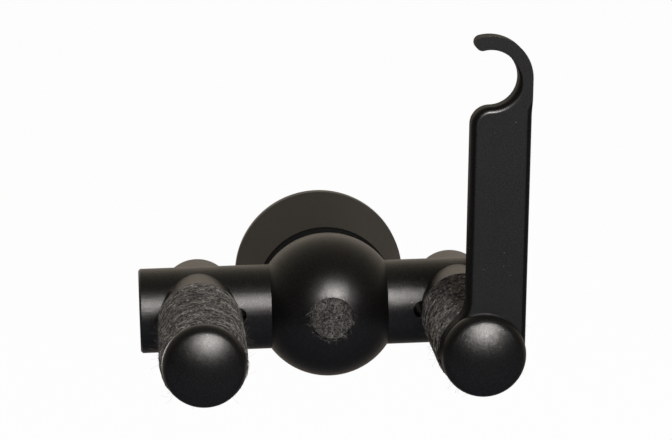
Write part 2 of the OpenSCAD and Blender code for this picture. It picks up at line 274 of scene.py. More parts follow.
# %% Blasted grain
grain = bpy.data.node_groups.new("blasted_grain", "ShaderNodeTree")
grain.interface.new_socket("Scale", in_out="INPUT", socket_type="NodeSocketFloat")
for socket in ("Height", "Mottle", "Tone", "Dust"):
    grain.interface.new_socket(socket, in_out="OUTPUT", socket_type="NodeSocketFloat")
tone_scale, tone_range, cloud_share = 0.165, 0.88, 0.12
cloud_scale, noise_low, noise_high = 260.0, 0.3, 0.7
dust_scale, dust_from, dust_least, dust_most = 900.0, 0.5, 0.02, 0.085
given = add(grain, "NodeGroupInput")
result = add(grain, "NodeGroupOutput")
place = add(grain, "ShaderNodeTexCoord")
dents = add(grain, "ShaderNodeTexNoise", {"Detail": 1.0, "Roughness": 0.5})
coarser = add(grain, "ShaderNodeMath", {1: tone_scale}, operation="MULTIPLY")
sparkle = add(grain, "ShaderNodeTexNoise", {"Detail": 1.0, "Roughness": 0.5})
cloud = add(grain, "ShaderNodeTexNoise", {"Scale": cloud_scale, "Detail": 4.0})
fine = remap(grain, noise_low, noise_high, 0.0, tone_range)
tone = add(grain, "ShaderNodeMath", {1: cloud_share}, operation="MULTIPLY_ADD")
cells = add(grain, "ShaderNodeTexVoronoi", {"Scale": dust_scale})
chance = add(grain, "ShaderNodeSeparateColor")
size = remap(grain, dust_from, 1.0, dust_least, dust_most)
speck = add(grain, "ShaderNodeMath", operation="LESS_THAN")
join(grain, given.outputs["Scale"], dents.inputs["Scale"])
join(grain, given.outputs["Scale"], coarser.inputs[0])
join(grain, coarser.outputs[0], sparkle.inputs["Scale"])
for texture in (dents, sparkle, cloud, cells):
    join(grain, place.outputs["Object"], texture.inputs["Vector"])
join(grain, sparkle.outputs["Fac"], fine.inputs[0])
join(grain, cloud.outputs["Fac"], tone.inputs[0])
join(grain, fine.outputs[0], tone.inputs[2])
join(grain, tone.outputs[0], result.inputs["Tone"])
join(grain, cells.outputs["Color"], chance.inputs[0])
join(grain, chance.outputs[0], size.inputs[0])
join(grain, cells.outputs["Distance"], speck.inputs[0])
join(grain, size.outputs[0], speck.inputs[1])
join(grain, dents.outputs["Fac"], result.inputs["Height"])
join(grain, cloud.outputs["Fac"], result.inputs["Mottle"])
join(grain, speck.outputs[0], result.inputs["Dust"])
print("grain nodes:", len(grain.nodes))

# %% [markdown]
# All metal finishes come from one recipe: a dark and a light tone, a dust colour, a sheen, and
# the size and depth of the dents. The black ones are dark but metallic, because the dyed skin
# lets the metal below mirror the room. The cone of the base is dull, and hardly mirrors at all.
# The hook plate's rounding gets a darker copy of the black metal, and its cut sides a dull one
# that hardly mirrors: both are painted shade. Nylon is the same recipe without the metal.


# %% Metal finishes
sheen_change, micron = 0.004, 0.000001
bead_scale, dyed, skin_ior = 26000.0, 0.94, 1.52


def metal(name, dark, light, dust, metallic, rough, ior, scale, depth):
    material, tree = start_material(name)
    surface = add(tree, "ShaderNodeGroup", node_tree=grain)
    surface.inputs["Scale"].default_value = scale
    tone = add(tree, "ShaderNodeMix", data_type="RGBA")
    tone.inputs["A"].default_value = (*dark, 1)
    tone.inputs["B"].default_value = (*light, 1)
    dusted = add(tree, "ShaderNodeMix", data_type="RGBA")
    dusted.inputs["B"].default_value = (*dust, 1)
    sheen = remap(tree, noise_low, noise_high, rough - sheen_change, rough + sheen_change)
    bump = add(tree, "ShaderNodeBump", {"Strength": 1.0, "Distance": depth})
    skin = add(tree, "ShaderNodeBsdfPrincipled", {"Metallic": metallic, "IOR": ior})
    out = add(tree, "ShaderNodeOutputMaterial")
    join(tree, surface.outputs["Tone"], tone.inputs["Factor"])
    join(tree, tone.outputs["Result"], dusted.inputs["A"])
    join(tree, surface.outputs["Dust"], dusted.inputs["Factor"])
    join(tree, dusted.outputs["Result"], skin.inputs["Base Color"])
    join(tree, surface.outputs["Mottle"], sheen.inputs[0])
    join(tree, sheen.outputs[0], skin.inputs["Roughness"])
    join(tree, surface.outputs["Height"], bump.inputs["Height"])
    join(tree, bump.outputs[0], skin.inputs["Normal"])
    join(tree, skin.outputs[0], out.inputs[0])
    return material


black_metal = metal(
    "black_metal", dark=(0.033, 0.033, 0.034), light=(0.057, 0.057, 0.057), dust=(0.12, 0.115, 0.11),
    metallic=dyed, rough=0.294, ior=skin_ior, scale=bead_scale, depth=13.5 * micron,
)
bar_black = metal(
    "black_metal_bar", dark=(0.036, 0.036, 0.037), light=(0.062, 0.062, 0.062), dust=(0.2, 0.19, 0.18),
    metallic=dyed, rough=0.305, ior=skin_ior, scale=bead_scale, depth=18.5 * micron,
)
plate_black = metal(
    "black_metal_plate", dark=(0.027, 0.0278, 0.029), light=(0.0465, 0.0478, 0.049),
    dust=(0.2, 0.19, 0.18), metallic=0.78, rough=0.292, ior=skin_ior, scale=bead_scale,
    depth=3.5 * micron,
)
dull_dust = (0.1, 0.095, 0.09)
# painted shade: a darker copy of the black metal for the hook plate's rounding
rounding_shade_black = metal(
    "black_metal_rounding_painted_shade", dark=(0.024, 0.024, 0.024), light=(0.036, 0.036, 0.036), dust=dull_dust,
    metallic=dyed, rough=0.33, ior=skin_ior, scale=bead_scale, depth=5 * micron,
)
dull = {
    "dark": (0.003, 0.003, 0.0032), "light": (0.0046, 0.0045, 0.0044), "dust": dull_dust,
    "metallic": 0.0, "scale": bead_scale,
}
matt_black = metal("black_metal_matt", **dull, rough=0.4, ior=1.19, depth=11 * micron)
# painted shade: a dull, hardly mirroring copy for the hook plate's walls
wall_shade_black = metal("black_metal_walls_painted_shade", **dull, rough=0.45, ior=1.17, depth=7.5 * micron)
bright_steel = metal(
    "bright_steel", dark=(0.42, 0.42, 0.43), light=(0.58, 0.58, 0.58), dust=(0.5, 0.5, 0.5),
    metallic=1.0, rough=0.32, ior=1.5, scale=2500.0, depth=6 * micron,
)
dark_steel = metal(
    "dark_steel", dark=(0.03, 0.03, 0.032), light=(0.06, 0.058, 0.056), dust=(0.1, 0.1, 0.1),
    metallic=1.0, rough=0.38, ior=1.5, scale=2500.0, depth=6 * micron,
)
nylon = metal(
    "nylon", dark=(0.012, 0.012, 0.012), light=(0.018, 0.018, 0.018), dust=(0.1, 0.1, 0.1),
    metallic=0.0, rough=0.42, ior=1.5, scale=1500.0, depth=4 * micron,
)
print("finishes:", [finish.name for finish in bpy.data.materials])

# %% [markdown]
# The base's straight lip is turned last, against the wall side, so it keeps a smoother cut than
# the matt cone and catches the light behind it. Its gloss takes over within the lip's thickness.


# %% Bright lip of the base
def brighten_lip(material, lip, lip_metallic, lip_rough):
    tree = material.node_tree
    skin = next(node for node in tree.nodes if node.type == "BSDF_PRINCIPLED")
    place = add(tree, "ShaderNodeTexCoord")
    split = add(tree, "ShaderNodeSeparateXYZ")
    mask = add(tree, "ShaderNodeMath", {1: -lip}, operation="GREATER_THAN")
    metallic = add(tree, "ShaderNodeMath", {1: lip_metallic}, operation="MULTIPLY")
    rough = add(tree, "ShaderNodeMix", data_type="FLOAT")
    rough.inputs["B"].default_value = lip_rough
    join(tree, place.outputs["Object"], split.inputs[0])
    join(tree, split.outputs["Y"], mask.inputs[0])
    join(tree, mask.outputs[0], metallic.inputs[0])
    join(tree, metallic.outputs[0], skin.inputs["Metallic"])
    join(tree, mask.outputs[0], rough.inputs["Factor"])
    join(tree, skin.inputs["Roughness"].links[0].from_socket, rough.inputs["A"])
    join(tree, rough.outputs["Result"], skin.inputs["Roughness"])


brighten_lip(matt_black, lip=2 * mm, lip_metallic=0.5, lip_rough=0.31)
print("lip added to", matt_black.name)

# %% [markdown]
# The frame's own pieces get their finish by name, and those that aren't named here are black
# metal. The bar has a slightly lighter skin, and the base is the matt one.

# %% Finishes of the frame's own pieces
finish_of = {
    "wall_base": matt_black, "crossbar": bar_black,
    "mounting_disc": bright_steel, "spring_washer": bright_steel,
    "friction_washer": nylon, "hook_washer": nylon,
    "grub_screw": dark_steel, "swivel_bolt": dark_steel,
    "left_cap_stud": dark_steel, "right_cap_stud": dark_steel,
    "left_arm_stud": dark_steel, "right_arm_stud": dark_steel,
}
for name, node in nodes.items():
    node.data.materials.clear()
    node.data.materials.append(finish_of.get(name, black_metal))
print("named finishes:", len(finish_of), "of", len(nodes))

# %% [markdown]
# Modifiers are applied as soon as they are set, so that each finished piece is plain mesh.


# %% Modifier helper
def apply_all(piece):
    pick(piece)
    for modifier in list(piece.modifiers):
        bpy.ops.object.modifier_apply(modifier=modifier.name)


# %% [markdown]
# Round pieces are turned, as on a lathe. One starts as a disc, and each extrusion lifts the rim to
# the next point of the profile and scales it in. It is made upright, and then laid forward.


# %% Turned shape from a profile
def turned(name, profile, segments):
    pick()
    radius, height = profile[0]
    bpy.ops.mesh.primitive_circle_add(
        vertices=segments, radius=radius, fill_type="NGON", location=(0, 0, height)
    )
    piece = bpy.context.object
    piece.name = name
    bpy.ops.object.transform_apply(location=True)
    bpy.ops.object.mode_set(mode="EDIT")
    bpy.ops.mesh.select_all(action="SELECT")
    for next_radius, next_height in profile[1:]:
        lift = (0, 0, next_height - height)
        bpy.ops.mesh.extrude_region_move(TRANSFORM_OT_translate={"value": lift})
        shrink = next_radius / radius
        bpy.ops.transform.resize(value=(shrink, shrink, 1), center_override=(0, 0, next_height))
        radius, height = next_radius, next_height
    bpy.ops.mesh.select_all(action="SELECT")
    bpy.ops.mesh.normals_make_consistent(inside=False)
    bpy.ops.object.mode_set(mode="OBJECT")
    return piece


def lay_forward(piece, x, y):
    pick(piece)
    piece.rotation_euler = (math.radians(90), 0, 0)
    piece.location = (x, y, 0)
    bpy.ops.object.transform_apply(location=True, rotation=True)


# %% [markdown]
# An end cap has a short rim, a rounded edge and a shallow crown. The rounding and the crown are
# two arcs that meet at one slope. Every step is a full ring, so the highlight on the crown stays
# round.

# %% End caps
cap_radius, rim_height, crown_radius, edge_radius = 7 * mm, 0.2 * mm, 13.5 * mm, 2.3 * mm
edge_middle = cap_radius - edge_radius
meet = math.asin(edge_middle / (crown_radius - edge_radius))
crown_drop = edge_middle / math.tan(meet)
break_size = 0.12 * mm
edge_steps, crown_steps, cap_segments = 14, 16, 96
cap_profile = [(cap_radius - break_size, 0), (cap_radius, break_size)]
for step in range(edge_steps + 1):
    slope = math.radians(90) + (meet - math.radians(90)) * step / edge_steps
    reach = edge_middle + edge_radius * math.sin(slope)
    cap_profile.append((reach, rim_height + edge_radius * math.cos(slope)))
for step in range(1, crown_steps):
    slope = meet * (1 - step / crown_steps)
    reach = crown_radius * math.sin(slope)
    cap_profile.append((reach, rim_height - crown_drop + crown_radius * math.cos(slope)))
arm_x = 23 * mm
for side, body in ((-1, "left_finger"), (1, "knob")):
    node = "left_cap" if side < 0 else "right_cap"
    cap = turned(node + "_turned", cap_profile, cap_segments)
    lay_forward(cap, side * arm_x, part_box(node)[1].y)
    bpy.ops.object.shade_smooth_by_angle(angle=math.radians(40))
    cap.data.materials.append(black_metal)
    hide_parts(node)
    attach(cap, body)
print("cap rings:", len(cap_profile))

# %% [markdown]
# The bow hook is cut from plate: a ring round the arm's end, a straight part, a shoulder and an
# open eye. Its outline is a chain of arcs in millimetres round the ring's middle, and each arc
# starts where the last one ends. The points on the straight right edge are where its rounding
# fades.


# %% Outline of the bow hook
def arc(middle, radius, start, end, steps):
    turns = [math.radians(start + (end - start) * i / steps) for i in range(steps)]
    return [Vector((middle[0] + radius * math.cos(t), middle[1] + radius * math.sin(t))) for t in turns]


hook_r, hook_w, eye_rise, eye_r, tip_past = 6.95, 9.9, 45.8, 4.7, 15
shoulder_r, flare_r, lean = 3.2, 5.2, math.radians(2.35)
left_edge = hook_w - hook_r
tip_a = 90 + tip_past
tip_middle = arc((0, eye_rise), (hook_r + eye_r) / 2, tip_a, 360, 1)[0]
shoulder_x = shoulder_r - left_edge
shoulder_y = eye_rise - math.sqrt((shoulder_r + eye_r) ** 2 - shoulder_x ** 2)
meet_a = math.degrees(math.atan2(shoulder_y - eye_rise, shoulder_x))
flare_x = -left_edge - flare_r
flare_y = math.sqrt((hook_r + flare_r) ** 2 - flare_x ** 2)
flare_a = math.degrees(math.atan2(flare_y, flare_x))
edge_fade_low, edge_fade_high, fade_steps = -6.0, -3.0, 9
outline = arc((0, eye_rise), hook_r, 0, tip_a, steps=36)
outline += arc(tip_middle, (hook_r - eye_r) / 2, tip_a, tip_a + 180, steps=18)
outline += arc((0, eye_rise), eye_r, tip_a, meet_a, steps=64)
outline += arc((shoulder_x, shoulder_y), shoulder_r, meet_a + 180, 180, steps=28)
outline += [Vector((-left_edge, shoulder_y))]
outline += arc((flare_x, flare_y), flare_r, 0, flare_a - 180, steps=16)
outline += arc((0, 0), hook_r, flare_a, 360, steps=64)
outline += [Vector((hook_r, 0))]
fade_span = edge_fade_high - edge_fade_low
for i in range(fade_steps + 1):
    outline.append(Vector((hook_r, eye_rise + edge_fade_low + fade_span * i / fade_steps)))
print("hook outline points:", len(outline))

# %% [markdown]
# The front edges of the straight part are rounded, and the rounding runs out below the eye, so
# the hook itself stays crisp. A bevel has one width along an edge, so the plate is laid up in rows
# instead: the same outline is repeated from the rear face to the front, and each row near the
# front steps in by its own share of the local rounding. The rear face stands a hair off the
# washer behind it, so that no two faces lie in one plane.


# %% Rows of the plate
def inward(points, i):
    along = (points[(i + 1) % len(points)] - points[i - 1]).normalized()
    return Vector((-along.y, along.x))


eye_fade_low, eye_fade_high = -3.0, 3.5
least_round, added_round = 0.05, 1.05


def hook_rounding(point):
    low, high = eye_fade_low, eye_fade_high
    if point.x > eye_r + 1:
        low, high = edge_fade_low, edge_fade_high
    share = (eye_rise + high - point.y) / (high - low)
    share = min(1, max(0, share))
    return least_round + added_round * share * share * (3 - 2 * share)


rear_break, washer_gap = 0.25, 0.02
rear_steps, front_steps = 3, 6
rear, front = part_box("bow_hook")[1].y / mm - washer_gap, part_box("bow_hook")[0].y / mm
steps_in = [inward(outline, i) for i in range(len(outline))]
rounding = [hook_rounding(point) for point in outline]
rows = []
for step in range(rear_steps + 1):
    quarter = math.radians(90 * step / rear_steps)
    in_by, back_by = rear_break * (1 - math.sin(quarter)), rear_break * (1 - math.cos(quarter))
    rows.append([(p + in_by * n, rear - back_by) for p, n in zip(outline, steps_in)])
for step in range(front_steps + 1):
    quarter = math.radians(90 * step / front_steps)
    rows.append([
        (p + r * (1 - math.cos(quarter)) * n, front + r * (1 - math.sin(quarter)))
        for p, n, r in zip(outline, steps_in, rounding)
    ])
print("plate rows:", len(rows))

# %% [markdown]
# The rows are leant over as the hook stands at rest, and joined by faces: quads between the rows,
# and one face at the rear and one at the front.

# %% Plate of the bow hook
count = len(outline)
corners = []
for row in rows:
    for flat, y in row:
        x = arm_x / mm + flat.x * math.cos(lean) + flat.y * math.sin(lean)
        z = flat.y * math.cos(lean) - flat.x * math.sin(lean)
        corners.append((x * mm, y * mm, z * mm))
faces = []
for low in range(len(rows) - 1):
    for i in range(count):
        j = (i + 1) % count
        faces.append((low * count + i, low * count + j, (low + 1) * count + j, (low + 1) * count + i))
faces.append(tuple(range(count - 1, -1, -1)))
faces.append(tuple(range((len(rows) - 1) * count, len(rows) * count)))
plate = bpy.data.meshes.new("bow_hook_plate")
plate.from_pydata(corners, [], faces)
hook = bpy.data.objects.new("bow_hook_plate", plate)
bpy.context.scene.collection.objects.link(hook)
pick(hook)
bpy.ops.object.mode_set(mode="EDIT")
bpy.ops.mesh.select_all(action="SELECT")
bpy.ops.mesh.normals_make_consistent(inside=False)
bpy.ops.object.mode_set(mode="OBJECT")
print("plate corners:", len(corners))

# %% [markdown]
# The ring turns on the arm's end, so it is bored through. Weighted normals then keep the flat
# face flat up to its rounding.

# %% Bore of the hook's ring
bore_r, drill_length, drill_sides = 4.05 * mm, 10 * mm, 64
bpy.ops.mesh.primitive_cylinder_add(
    vertices=drill_sides, radius=bore_r, depth=drill_length,
    location=(arm_x, (rear + front) / 2 * mm, 0), rotation=(math.radians(90), 0, 0),
)
drill = bpy.context.object
bore = hook.modifiers.new("bore", "BOOLEAN")
bore.object = drill
apply_all(hook)
bpy.data.objects.remove(drill)
pick(hook)
bpy.ops.object.shade_smooth_by_angle(angle=math.radians(32))
even = hook.modifiers.new("even shading", "WEIGHTED_NORMAL")
even.keep_sharp = True
apply_all(hook)
print("bow hook faces:", len(hook.data.polygons))

# %% [markdown]
# The plate has three finishes: the blasted flat faces, a darker copy on the rounding of the
# straight part and a dull copy on the cut sides, both of them painted shade. The direction that a
# face points in says which one it gets.

# %% Finishes of the bow hook
flat_face, rounded_face = 0.99, 0.6
eye_height = eye_rise * math.cos(lean) * mm
for finish in (plate_black, wall_shade_black, rounding_shade_black):
    hook.data.materials.append(finish)
# the rounding and the walls get the copies with painted shade, chosen by the way each face points
for face in hook.data.polygons:
    if abs(face.normal.y) > flat_face:
        face.material_index = 0
    elif abs(face.normal.y) > rounded_face and face.center.z < eye_height:
        face.material_index = 2
    else:
        face.material_index = 1
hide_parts("bow_hook")
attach(hook, "hook")
print("bow hook finishes:", [finish.name for finish in hook.data.materials])

# %% [markdown]
# Wool and felt share one look: pale and dark fibres spun together, so the colour changes from
# fibre to fibre. The pattern is noise that is drawn out along the fibres. The group takes a place
# on the piece, along and across the strand, and gives out a tone and a height.

# %% Heather pattern
heather = bpy.data.node_groups.new("heather", "ShaderNodeTree")
for socket in ("Place", "Stretch"):
    heather.interface.new_socket(socket, in_out="INPUT", socket_type="NodeSocketVector")
for socket in ("Tone", "Height"):
    heather.interface.new_socket(socket, in_out="OUTPUT", socket_type="NodeSocketFloat")
patch_scale, patch_share, all_dark, all_pale = 0.22, 0.35, 0.54, 0.82
given = add(heather, "NodeGroupInput")
result = add(heather, "NodeGroupOutput")
drawn = add(heather, "ShaderNodeVectorMath", operation="MULTIPLY")
fibres = add(heather, "ShaderNodeTexNoise", {"Scale": 1.0, "Detail": 3.0, "Roughness": 0.65})
patches = add(heather, "ShaderNodeTexNoise", {"Scale": patch_scale, "Detail": 2.0})
tone = add(heather, "ShaderNodeMath", {1: patch_share, 2: 0.0}, operation="MULTIPLY_ADD")
spread = remap(heather, all_dark, all_pale, 0.0, 1.0)
join(heather, given.outputs["Place"], drawn.inputs[0])
join(heather, given.outputs["Stretch"], drawn.inputs[1])
join(heather, drawn.outputs[0], fibres.inputs["Vector"])
join(heather, drawn.outputs[0], patches.inputs["Vector"])
join(heather, patches.outputs["Fac"], tone.inputs[0])
join(heather, fibres.outputs["Fac"], tone.inputs[2])
join(heather, tone.outputs[0], spread.inputs[0])
join(heather, spread.outputs[0], result.inputs["Tone"])
join(heather, fibres.outputs["Fac"], result.inputs["Height"])
print("heather nodes:", len(heather.nodes))

# %% [markdown]
# The wound strand and the felt take their tone from the heather pattern. On the strand it follows
# the yarn, through the strand's own map, and shade is painted into the grooves between the turns,
# with painted light on the crests. Single fibres each have one tone, which their mesh carries.


# %% Wool finishes
groove_end, crest_start, crest_light_gain = 0.2, 0.85, 1.15


def wool(name, dark, mid, pale, stretch, depth, uv, groove_shade):
    material, tree = start_material(name)
    place = add(tree, "ShaderNodeUVMap", uv_map=uv) if uv else add(tree, "ShaderNodeTexCoord")
    pattern = add(tree, "ShaderNodeGroup", node_tree=heather)
    pattern.inputs["Stretch"].default_value = stretch
    ramp = add(tree, "ShaderNodeValToRGB")
    ramp.color_ramp.elements[0].color = (*dark, 1)
    ramp.color_ramp.elements[1].color = (*pale, 1)
    ramp.color_ramp.elements.new(0.5).color = (*mid, 1)
    bump = add(tree, "ShaderNodeBump", {"Strength": 1.0, "Distance": depth})
    skin = add(tree, "ShaderNodeBsdfPrincipled", {"Roughness": 0.92})
    out = add(tree, "ShaderNodeOutputMaterial")
    join(tree, place.outputs["UV" if uv else "Object"], pattern.inputs["Place"])
    join(tree, pattern.outputs["Tone"], ramp.inputs[0])
    shade = add(tree, "ShaderNodeVectorMath", {"Scale": 1.0}, operation="SCALE")
    join(tree, ramp.outputs[0], shade.inputs[0])
    # painted shade in the grooves between the turns, and painted light on the crests
    if groove_shade:
        crest = add(tree, "ShaderNodeAttribute", attribute_name="crest")
        painted_groove_shade = remap(tree, groove_end, crest_start, groove_shade, crest_light_gain)
        join(tree, crest.outputs["Fac"], painted_groove_shade.inputs[0])
        join(tree, painted_groove_shade.outputs[0], shade.inputs["Scale"])
    join(tree, shade.outputs[0], skin.inputs["Base Color"])
    join(tree, pattern.outputs["Height"], bump.inputs["Height"])
    join(tree, bump.outputs[0], skin.inputs["Normal"])
    join(tree, skin.outputs[0], out.inputs[0])
    return material


def fibre_finish(name, dark, pale):
    material, tree = start_material(name)
    tone = add(tree, "ShaderNodeAttribute", attribute_name="tone")
    blend = add(tree, "ShaderNodeMix", data_type="RGBA")
    blend.inputs["A"].default_value = (*dark, 1)
    blend.inputs["B"].default_value = (*pale, 1)
    skin = add(tree, "ShaderNodeBsdfPrincipled", {"Roughness": 0.8})
    out = add(tree, "ShaderNodeOutputMaterial")
    join(tree, tone.outputs["Fac"], blend.inputs["Factor"])
    join(tree, blend.outputs["Result"], skin.inputs["Base Color"])
    join(tree, skin.outputs[0], out.inputs[0])
    return material


# painted shade: the yarn's grooves are darkened to a tenth of its tone
yarn_finish = wool(
    "wool_yarn", dark=(0.004, 0.0043, 0.0075), mid=(0.017, 0.0169, 0.0183), pale=(0.23, 0.218, 0.203),
    stretch=(2200.0, 3800.0, 1.0), depth=0.1 * mm, uv="strand", groove_shade=0.1,
)
felt_finish = wool(
    "felt", dark=(0.004, 0.004, 0.004), mid=(0.012, 0.012, 0.012), pale=(0.05, 0.048, 0.046),
    stretch=(2600.0, 2600.0, 2600.0), depth=0.12 * mm, uv=None, groove_shade=None,
)
yarn_hairs = fibre_finish("wool_fibres", dark=(0.007, 0.0075, 0.01), pale=(0.55, 0.522, 0.483))
felt_hairs = fibre_finish("felt_fibres", dark=(0.008, 0.008, 0.0085), pale=(0.42, 0.404, 0.39))
print("wool finishes:", [m.name for m in (yarn_finish, felt_finish, yarn_hairs, felt_hairs)])

# %% [markdown]
# Fibres are thin tapered tubes with three sides. Thousands of them lie on the soft pieces, so
# they are made in code and kept in one mesh a piece. Each fibre has its own tone, as in heather
# wool.


# %% Fibre tubes
sides, tip_share = 3, 0.35


def fibre_mesh(name, hairs):
    corners, faces, tones = [], [], []
    for path, radius, tone in hairs:
        start = len(corners)
        for i, point in enumerate(path):
            along = (path[min(i + 1, len(path) - 1)] - path[max(i - 1, 0)]).normalized()
            aside = along.orthogonal().normalized()
            thick = radius * (tip_share if i in (0, len(path) - 1) else 1)
            for k in range(sides):
                corners.append(point + thick * (Matrix.Rotation(k * math.tau / sides, 3, along) @ aside))
                tones.append(tone)
        for i in range(len(path) - 1):
            for k in range(sides):
                a, b = start + sides * i + k, start + sides * i + (k + 1) % sides
                faces.append((a, b, b + sides, a + sides))
        last = len(corners) - sides
        faces.append((start, start + 2, start + 1))
        faces.append((last, last + 1, last + 2))
    mesh = bpy.data.meshes.new(name)
    mesh.from_pydata(corners, [], faces)
    mesh.attributes.new("tone", "FLOAT", "POINT").data.foreach_set("value", tones)
    piece = bpy.data.objects.new(name, mesh)
    bpy.context.scene.collection.objects.link(piece)
    pick(piece)
    bpy.ops.object.shade_smooth()
    print(name, "fibres:", len(hairs))
    return piece


# %% [markdown]
# The yarn is one thick, loosely spun strand, wound turn against turn round each arm. The first
# and the last turn lie flat, pressed in a little, and close the winding. A winding is given by the
# height of its first turn, its pitch, its hand and the turns that climb. A place on the strand is
# given by the turns done so far and the angle around the strand.

# %% Places on a winding
Winding = namedtuple("Winding", "first pitch hand turns")
yarn_out, yarn_thick, pressed = 7.35 * mm, 1.35 * mm, 0.12 * mm
yarn_mid = yarn_out - yarn_thick / 2


def strand_centre(winding, turns_done):
    climbed = min(winding.turns, max(0, turns_done - 1))
    flat = turns_done < 1 or turns_done > winding.turns + 1
    return yarn_mid - (pressed if flat else 0), winding.first + winding.pitch * climbed


def on_strand(winding, turns_done, around, lift):
    angle = winding.hand * turns_done * math.tau
    reach, height = strand_centre(winding, turns_done)
    reach += (yarn_thick / 2 + lift) * math.cos(around)
    height += (winding.pitch / 2 + lift) * math.sin(around)
    return Vector((reach * math.cos(angle), reach * math.sin(angle), height))


# %% [markdown]
# A flattened ring is swept along the winding with a Screw modifier. The turns are first swept far
# apart, so that each corner's height tells its turn, and are then laid in their places. The two
# ends dip into the winding and are tucked away.


# %% Wound strand
ring_sides, turn_steps, ring_width, apart = 18, 40, 0.51, 10 * mm
tuck_turn, tuck_depth = 0.07, 1.2 * mm


def wind(name, winding):
    all_turns = winding.turns + 2
    pick()
    bpy.ops.mesh.primitive_circle_add(vertices=ring_sides, radius=1)
    strand = bpy.context.object
    strand.name = name
    flattened = (yarn_thick / 2, 1, winding.pitch * ring_width)
    bpy.ops.object.mode_set(mode="EDIT")
    bpy.ops.mesh.select_all(action="SELECT")
    bpy.ops.transform.rotate(value=math.radians(90), orient_axis="X", center_override=(0, 0, 0))
    bpy.ops.transform.resize(value=flattened, center_override=(0, 0, 0))
    bpy.ops.transform.translate(value=(yarn_mid, 0, 0))
    bpy.ops.object.mode_set(mode="OBJECT")
    screw = strand.modifiers.new("winding", "SCREW")
    screw.angle = winding.hand * all_turns * math.tau
    screw.screw_offset = apart * all_turns
    screw.steps = round(turn_steps * all_turns)
    screw.render_steps = screw.steps
    apply_all(strand)
    bpy.ops.object.mode_set(mode="EDIT")
    bpy.ops.mesh.select_all(action="SELECT")
    bpy.ops.mesh.fill_holes(sides=0)
    bpy.ops.mesh.select_all(action="SELECT")
    bpy.ops.mesh.subdivide(number_cuts=1)
    bpy.ops.mesh.normals_make_consistent(inside=False)
    bpy.ops.object.mode_set(mode="OBJECT")
    places = []
    for corner in strand.data.vertices:
        x, y, z = corner.co
        share = (winding.hand * math.atan2(y, x) / math.tau) % 1
        turns_done = min(all_turns, max(0, share + round(z / apart - share)))
        out = math.hypot(x, y) - yarn_mid
        aside = z - apart * turns_done
        reach, height = strand_centre(winding, turns_done)
        ease = max(0, 1 - min(turns_done, all_turns - turns_done) / tuck_turn)
        scale = (reach + out - tuck_depth * ease * ease) / (yarn_mid + out)
        corner.co = (x * scale, y * scale, height + aside)
        places.append((turns_done, math.atan2(aside / winding.pitch, out / yarn_thick)))
    return strand, places


# %% [markdown]
# Wool is never even, so noise displacements make it lumpy. The strand also gets its own map, with
# one way along it and one across, slanted by the twist of the yarn, and it notes how near the
# crest each corner is.


# %% Lumps and strand map
yarn_twist = 0.2


def lumpy(piece, name, grain_size, depth):
    texture = bpy.data.textures.new(name, "CLOUDS")
    texture.noise_scale = grain_size
    texture.noise_depth = 2
    lumps = piece.modifiers.new(name, "DISPLACE")
    lumps.texture = texture
    lumps.texture_coords = "LOCAL"
    lumps.strength = depth


def name_places(strand, places, pitch):
    layer = strand.data.uv_layers.new(name="strand")
    crest = strand.data.attributes.new("crest", "FLOAT", "POINT")
    crest.data.foreach_set("value", [math.cos(around) for turns_done, around in places])
    for loop in strand.data.loops:
        turns_done, around = places[loop.vertex_index]
        along = turns_done * math.tau * yarn_mid
        across = around * pitch / math.pi
        layer.data[loop.index].uv = (along, across + yarn_twist * along)


# %% [markdown]
# Both arms are wound the same way, but to opposite hands, and the right winding is shorter, to
# leave room for the hook. The turns share out the length that the frame gives the yarn.

# %% Yarn windings
strand_width = 3.3 * mm
arm_at = {"left": -arm_x, "right": arm_x}
windings = {}
for side, turns, hand in (("left", 9, 1), ("right", 7.5, -1)):
    low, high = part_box(side + "_yarn")
    first, last = -high.y + strand_width / 2, -low.y - strand_width / 2
    winding = Winding(first, (last - first) / turns, hand, turns)
    strand, places = wind(side + "_yarn_strand", winding)
    lumpy(strand, "lumps", grain_size=2.2 * mm, depth=0.5 * mm)
    lumpy(strand, "tufts", grain_size=0.7 * mm, depth=0.22 * mm)
    apply_all(strand)
    name_places(strand, places, winding.pitch)
    bpy.ops.object.shade_smooth()
    lay_forward(strand, arm_at[side], 0)
    strand.data.materials.append(yarn_finish)
    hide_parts(side + "_yarn")
    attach(strand, side + "_finger")
    windings[side] = winding
    print(strand.name, "faces:", len(strand.data.polygons), "pitch:", round(winding.pitch / mm, 2), "mm")

# %% [markdown]
# Loose fibres lie on the strand with both ends tucked in. The long ones follow the yarn, and the
# short ones lie across it at all slants. Most are dark, a few are pale, and those near a groove
# get painted shade. Lengths and widths are in millimetres.


# %% Lying fibres
from_turn, past_turns, lying_steps = 0.1, 1.9, 4
long_share, long_length, long_slant = 0.22, (1.4, 3.4), (0.05, 0.16)
short_length, short_slant = (0.3, 1.0), (0.2, 1.1)
arch, sunk, uneven, lying_width = 0.16, 0.07, 0.02, (0.012, 0.03)
pale_share, pale_tones, dark_limit = 0.05, (0.6, 1.1), 0.9
groove_shade_least, groove_fade = 0.25, 1.6


